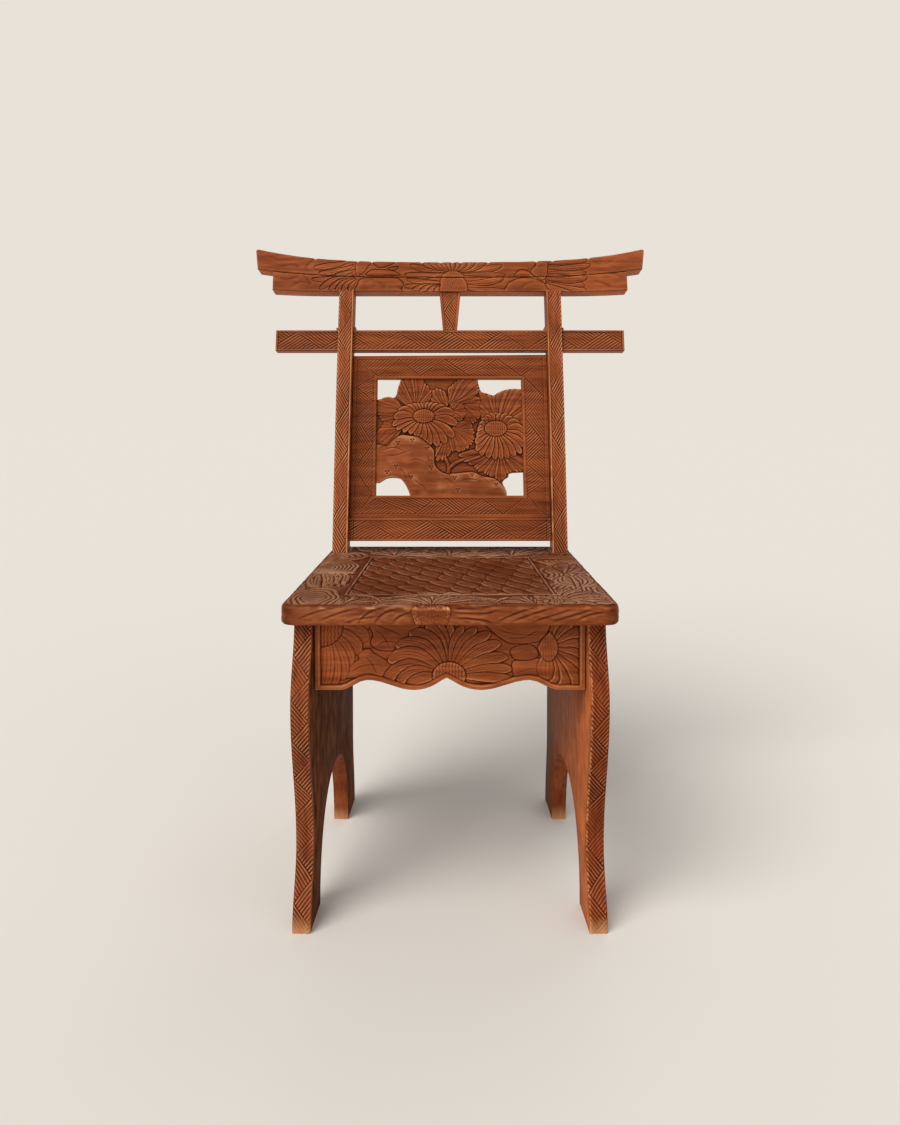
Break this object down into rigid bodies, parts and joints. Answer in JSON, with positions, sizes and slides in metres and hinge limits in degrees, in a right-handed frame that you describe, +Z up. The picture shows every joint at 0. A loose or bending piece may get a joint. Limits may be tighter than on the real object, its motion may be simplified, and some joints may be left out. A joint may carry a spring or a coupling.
{
  "type": "carved side chair",
  "caption": "Carved wooden side chair with slab legs, a shaped apron, a flat board seat and a raked, gate-shaped back that frames an openwork flower panel.",
  "frame": {"origin": "on the floor under the middle of the chair's box", "axes": "+Z up, -Y towards the front of the seat, +X towards the viewer's right when the front is seen"},
  "size_m": [0.6668, 0.4556, 0.9171],
  "materials": {
    "red_brown_wood": "red-brown stain under worn satin polish, darker in the carving",
    "dark_brown_wood": "dark stain, unpolished inner face",
    "pale_brown_wood": "bare wood of hidden joinery"
  },
  "bodies": {
    "root": {"seat_board": "red_brown_wood", "side_slab_left": "red_brown_wood", "side_slab_right": "red_brown_wood", "front_apron": "red_brown_wood", "rear_rail": "dark_brown_wood", "back_post_left": "red_brown_wood", "back_post_right": "red_brown_wood", "post_wedge_left": "pale_brown_wood", "post_wedge_right": "pale_brown_wood", "lower_back_rail": "red_brown_wood", "frame_top_rail": "red_brown_wood", "frame_bottom_rail": "red_brown_wood", "frame_left_stile": "red_brown_wood", "frame_right_stile": "red_brown_wood", "frame_spline_top_left": "pale_brown_wood", "frame_spline_top_right": "pale_brown_wood", "frame_spline_bottom_left": "pale_brown_wood", "frame_spline_bottom_right": "pale_brown_wood", "frame_tongue_lower_left": "pale_brown_wood", "frame_tongue_lower_right": "pale_brown_wood", "frame_tongue_upper_left": "pale_brown_wood", "frame_tongue_upper_right": "pale_brown_wood", "carved_panel": "red_brown_wood", "tie_beam": "red_brown_wood", "tie_wedge_left": "pale_brown_wood", "tie_wedge_right": "pale_brown_wood", "centre_strut": "red_brown_wood", "lower_lintel": "red_brown_wood", "top_lintel": "red_brown_wood", "lintel_dowel_left": "pale_brown_wood", "lintel_dowel_right": "pale_brown_wood"}
  },
  "joints": []
}
